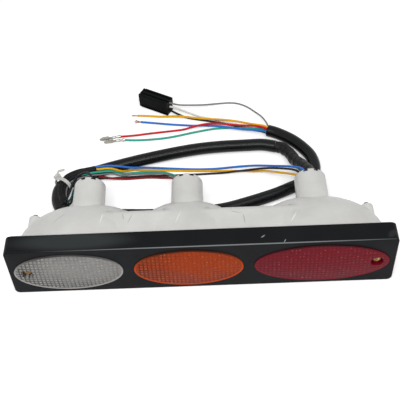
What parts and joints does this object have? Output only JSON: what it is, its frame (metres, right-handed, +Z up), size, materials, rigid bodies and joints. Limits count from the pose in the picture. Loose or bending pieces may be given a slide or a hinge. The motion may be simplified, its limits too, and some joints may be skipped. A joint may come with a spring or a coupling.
{
  "type": "forklift tail light",
  "caption": "Long rear combination lamp with clear, amber and red oval lenses, a moulded housing with bulb sockets, and a sheathed wiring harness with a plug.",
  "frame": {"origin": "on the underside, midway between the face of the bezel and the ends of the necks, in the middle of the lamp's length", "axes": "+X along the lamp, to the red lens; +Y from the lenses to the back; +Z up as it lies on its long edge"},
  "size_m": [0.35, 0.2641, 0.061],
  "materials": {
    "bezel_plastic": "moulded, satin",
    "housing_plastic": "moulded, semi-gloss",
    "clear_lens": "polished front, prisms behind",
    "amber_lens": "polished front, prisms behind",
    "red_lens": "polished front, prisms behind",
    "seal_rubber": "matte",
    "boot_rubber": "matte",
    "yellow_zinc": "yellow passivated",
    "bulb_glass": "clear",
    "nickel": "nickel plated",
    "socket_brass": "drawn",
    "phenolic": "pressed",
    "plug_plastic": "moulded",
    "tinned_terminal": "tinned",
    "copper_strand": "bare",
    "tie_nylon": "natural",
    "tape": "vinyl tape",
    "sheath": "soft vinyl",
    "wire_grey": "soft vinyl",
    "wire_white": "soft vinyl",
    "wire_black": "soft vinyl",
    "wire_yellow": "soft vinyl",
    "wire_blue": "soft vinyl",
    "wire_red": "soft vinyl",
    "wire_green": "soft vinyl"
  },
  "bodies": {
    "root": {"bezel": "bezel_plastic", "rear_housing": "housing_plastic", "lens_clear": "clear_lens", "lens_amber": "amber_lens", "lens_red": "red_lens", "lens_seal": "seal_rubber", "mounting_screws": "yellow_zinc", "screw_seals": "seal_rubber", "bulb_glass_left": "bulb_glass", "bulb_glass_middle": "bulb_glass", "bulb_glass_right": "bulb_glass", "bulb_base_left": "nickel", "bulb_base_middle": "nickel", "bulb_base_right": "nickel", "socket_left": "socket_brass", "socket_middle": "socket_brass", "socket_right": "socket_brass", "contact_disc_left": "phenolic", "contact_disc_middle": "phenolic", "contact_disc_right": "phenolic", "boot_left": "boot_rubber", "boot_middle": "boot_rubber", "boot_right": "boot_rubber", "plug_housing": "plug_plastic", "plug_terminals": "tinned_terminal", "crimp_terminal_red": "tinned_terminal", "crimp_terminal_green": "tinned_terminal", "bare_strands": "copper_strand", "cable_tie": "tie_nylon", "junction_tape": "tape", "sheath": "sheath", "tail_grey": "wire_grey", "tail_white": "wire_white", "tail_black": "wire_black", "tail_yellow": "wire_yellow", "tail_blue": "wire_blue", "tail_red": "wire_red", "tail_green": "wire_green", "branch_blue": "wire_blue", "branch_yellow": "wire_yellow", "branch_black": "wire_black", "branch_green": "wire_green", "branch_grey": "wire_grey", "branch_red": "wire_red", "lead_black": "wire_black", "lead_green": "wire_green", "lead_blue": "wire_blue"}
  },
  "joints": []
}
